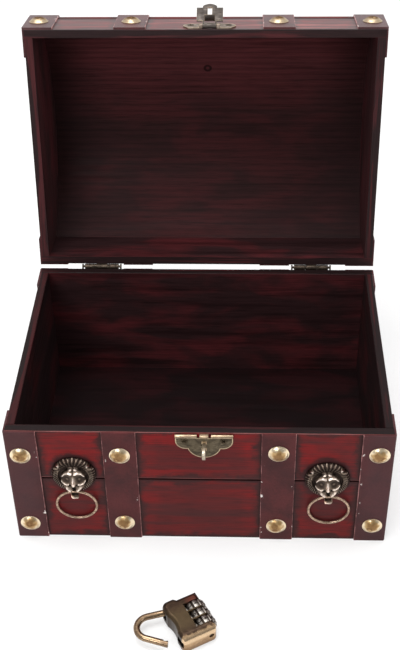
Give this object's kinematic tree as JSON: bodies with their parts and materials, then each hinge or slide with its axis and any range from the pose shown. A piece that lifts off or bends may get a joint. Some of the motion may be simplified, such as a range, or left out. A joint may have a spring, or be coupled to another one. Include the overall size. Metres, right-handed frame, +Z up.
{
  "type": "wooden treasure chest box",
  "caption": "Small arched-lid wooden chest with leather-look straps, domed studs, hasp and staple, lion mask ring pulls, rear hinges and an open combination padlock.",
  "frame": {"origin": "centre of the box's flat underside, on the surface that it stands on", "axes": "+X to the right seen from the front, +Y to the back, +Z up; the front with the clasp faces -Y"},
  "size_m": [0.2274, 0.336, 0.2565],
  "materials": {
    "box_wood": "stained dark mahogany red, satin lacquer, ragged dark edges",
    "inner_wood": "dark stained, thin satin lacquer",
    "lid_wood": "stained dark mahogany red, satin lacquer",
    "strap_leather": "thin brown imitation leather with fine ribs, rubbed edges",
    "stud_brass": "antiqued brass, rubbed crown, dark rim",
    "clasp_bronze": "antiqued olive bronze with bright edges",
    "lion_bronze": "antiqued bronze, black recesses, rubbed highlights",
    "ring_brass": "rubbed antique brass wire",
    "hinge_brass": "dark antiqued brass",
    "screw_brass": "dark antiqued brass",
    "lock_bronze": "dark brown bronze face, rubbed gold edges",
    "shackle_brass": "rubbed golden brass",
    "wheel_bronze": "blackened wheel with rubbed flutes and pale numerals",
    "lock_steel": "plain steel"
  },
  "bodies": {
    "box": {"front_panel": "box_wood", "back_panel": "box_wood", "left_panel": "box_wood", "right_panel": "box_wood", "bottom_panel": "inner_wood", "front_left_corner_strap": "strap_leather", "front_right_corner_strap": "strap_leather", "front_left_strap": "strap_leather", "front_right_strap": "strap_leather", "back_left_corner_strap": "strap_leather", "back_right_corner_strap": "strap_leather", "back_left_strap": "strap_leather", "back_right_strap": "strap_leather", "box_studs": "stud_brass", "staple_plate": "clasp_bronze", "staple": "clasp_bronze", "staple_plate_screws": "screw_brass", "left_lion_mask": "lion_bronze", "right_lion_mask": "lion_bronze", "lion_mask_nails": "lion_bronze", "left_hinge_box_leaf": "hinge_brass", "right_hinge_box_leaf": "hinge_brass", "left_hinge_pin": "hinge_brass", "right_hinge_pin": "hinge_brass", "hinge_box_screws": "screw_brass"},
    "lid": {"lid_front_wall": "lid_wood", "lid_back_wall": "lid_wood", "lid_left_end": "lid_wood", "lid_right_end": "lid_wood", "lid_dome": "lid_wood", "lid_left_edge_strap": "strap_leather", "lid_right_edge_strap": "strap_leather", "lid_left_strap": "strap_leather", "lid_right_strap": "strap_leather", "lid_studs": "stud_brass", "hasp_plate": "clasp_bronze", "hasp_plate_screws": "screw_brass", "hasp_pin": "clasp_bronze", "left_hinge_lid_leaf": "hinge_brass", "right_hinge_lid_leaf": "hinge_brass", "hinge_lid_screws": "screw_brass"},
    "hasp_flap": {"hasp_flap": "clasp_bronze"},
    "left_ring": {"left_ring": "ring_brass"},
    "right_ring": {"right_ring": "ring_brass"},
    "padlock": {"padlock_body": "lock_bronze", "wheel_axle": "lock_steel", "shackle_pin": "lock_bronze", "latch_spring": "lock_steel"},
    "shackle": {"shackle": "shackle_brass"},
    "latch": {"latch": "lock_steel"},
    "number_wheel_1": {"number_wheel_1": "wheel_bronze"},
    "number_wheel_2": {"number_wheel_2": "wheel_bronze"},
    "number_wheel_3": {"number_wheel_3": "wheel_bronze"}
  },
  "joints": [
    {"name": "lid_hinge", "type": "hinge", "parent": "box", "child": "lid", "pos_m": [0, 0.082, 0.09025], "axis": [1, 0, 0], "range_deg": [0, 100.5]},
    {"name": "hasp_hinge", "type": "hinge", "parent": "lid", "child": "hasp_flap", "pos_m": [0.0032, 0.11424, 0.25076], "axis": [1, 0, 0], "range_deg": [0, 146.5]},
    {"name": "left_ring_swing", "type": "hinge", "parent": "box", "child": "left_ring", "pos_m": [-0.0748, -0.0824, 0.0421], "axis": [-1, 0, 0], "range_deg": [0, 150]},
    {"name": "right_ring_swing", "type": "hinge", "parent": "box", "child": "right_ring", "pos_m": [0.07681, -0.0824, 0.04014], "axis": [-0.9971, 0, -0.0767], "range_deg": [0, 150]},
    {"name": "padlock_lift", "type": "slide", "parent": "box", "child": "padlock", "axis": [0, 0, 1], "range_m": [0, 0.12]},
    {"name": "shackle_swing", "type": "hinge", "parent": "padlock", "child": "shackle", "pos_m": [-0.0157, -0.14252, 0.0065], "axis": [0, 0, 1], "range_deg": [0, 29.5]},
    {"name": "latch_slide", "type": "slide", "parent": "padlock", "child": "latch", "axis": [0.4924, -0.8704, 0], "range_m": [0, 0.0032]},
    {"name": "number_wheel_1_spin", "type": "hinge", "parent": "padlock", "child": "number_wheel_1", "pos_m": [0.00487, -0.15168, 0.0065], "axis": [-0.4924, 0.8704, 0], "continuous": true},
    {"name": "number_wheel_2_spin", "type": "hinge", "parent": "padlock", "child": "number_wheel_2", "pos_m": [0.00187, -0.14637, 0.0065], "axis": [-0.4924, 0.8704, 0], "continuous": true},
    {"name": "number_wheel_3_spin", "type": "hinge", "parent": "padlock", "child": "number_wheel_3", "pos_m": [-0.00114, -0.14106, 0.0065], "axis": [-0.4924, 0.8704, 0], "continuous": true}
  ]
}
